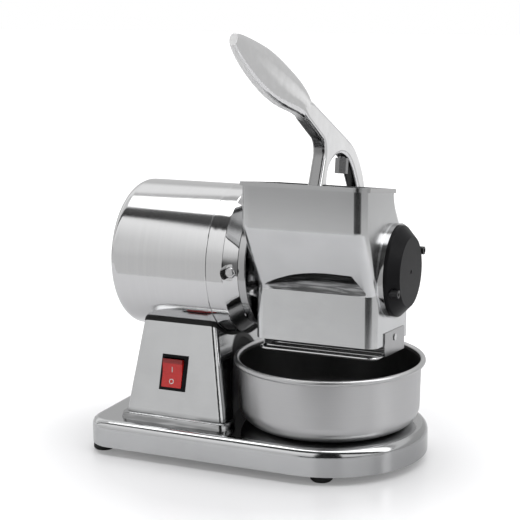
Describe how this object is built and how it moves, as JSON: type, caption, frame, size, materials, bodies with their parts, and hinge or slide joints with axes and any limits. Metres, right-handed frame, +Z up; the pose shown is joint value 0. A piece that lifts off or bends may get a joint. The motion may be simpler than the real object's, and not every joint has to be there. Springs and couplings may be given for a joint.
{
  "type": "electric grater",
  "caption": "Counter-top electric grater: a motor on a column turns a grating drum in a hopper with a hand-lever presser, over a round catch bowl.",
  "frame": {"origin": "on the table under the middle of the base's length, below the motor's axis", "axes": "+X along the motor's axis towards the drum's end cap, +Y to the back, +Z up; the grip points to -Y"},
  "size_m": [0.2882, 0.2839, 0.3759],
  "materials": {
    "cast_aluminium": "mirror polished casting",
    "polished_steel": "polished stainless sheet",
    "bright_fasteners": "zinc plated",
    "black_screws": "black oxide",
    "black_plastic": "satin moulded",
    "red_plastic": "gloss moulded",
    "white_plastic": "moulded",
    "black_rubber": "matt",
    "laminated_iron": "varnished sheet stack",
    "copper_wire": "enamelled copper",
    "brass": "turned",
    "capacitor_shell": "moulded"
  },
  "bodies": {
    "frame": {"base_casting": "cast_aluminium", "bearing_balls": "bright_fasteners", "bearing_outer_rings": "bright_fasteners", "bell_screws": "bright_fasteners", "bottom_plate": "polished_steel", "cable_gland": "black_plastic", "cap_bush": "brass", "cap_screws": "black_screws", "capacitor": "capacitor_shell", "capacitor_nut": "bright_fasteners", "column": "cast_aluminium", "column_bolts": "bright_fasteners", "end_cap": "black_plastic", "flange_bolts": "bright_fasteners", "foot_screws": "bright_fasteners", "gland_nut": "black_plastic", "guard_frame": "polished_steel", "guard_rivets": "polished_steel", "guard_rods": "polished_steel", "guard_tabs": "polished_steel", "hinge_clips": "bright_fasteners", "hinge_pin": "bright_fasteners", "hopper": "cast_aluminium", "motor_bell": "cast_aluminium", "motor_bolt_nuts": "bright_fasteners", "motor_bolts": "bright_fasteners", "motor_can": "polished_steel", "motor_gasket": "black_rubber", "rear_shield": "cast_aluminium", "rubber_feet": "black_rubber", "shaft_seal": "black_rubber", "stator_core": "laminated_iron", "stator_windings": "copper_wire", "switch_frame": "black_plastic", "switch_terminals": "brass", "terminal_block": "white_plastic", "terminal_inserts": "brass", "tie_studs": "bright_fasteners"},
    "rotor": {"rotor": "laminated_iron", "motor_shaft": "bright_fasteners", "bearing_inner_rings": "bright_fasteners", "drum_sleeve": "polished_steel", "drum_drive_hub": "white_plastic", "drum_end_hub": "white_plastic"},
    "lever_arm": {"lever": "cast_aluminium", "presser": "cast_aluminium", "presser_bolt": "bright_fasteners", "presser_nut": "bright_fasteners", "stop_bolt": "bright_fasteners", "stop_nut": "bright_fasteners"},
    "rocker": {"switch_rocker": "red_plastic"},
    "bowl": {"bowl": "polished_steel"}
  },
  "joints": [
    {"name": "drum_spin", "type": "hinge", "parent": "frame", "child": "rotor", "pos_m": [0.0599, 0, 0.16947], "axis": [1, 0, 0], "continuous": true},
    {"name": "lever_swing", "type": "hinge", "parent": "frame", "child": "lever_arm", "pos_m": [0.0599, 0.057, 0.20397], "axis": [-1, 0, 0], "range_deg": [0, 85]},
    {"name": "rocker_tilt", "type": "hinge", "parent": "frame", "child": "rocker", "pos_m": [-0.0676, -0.05553, 0.0736], "axis": [-1, 0, 0], "range_deg": [0, 16]},
    {"name": "bowl_slide", "type": "slide", "parent": "frame", "child": "bowl", "axis": [1, 0, 0], "range_m": [0, 0.14]}
  ]
}
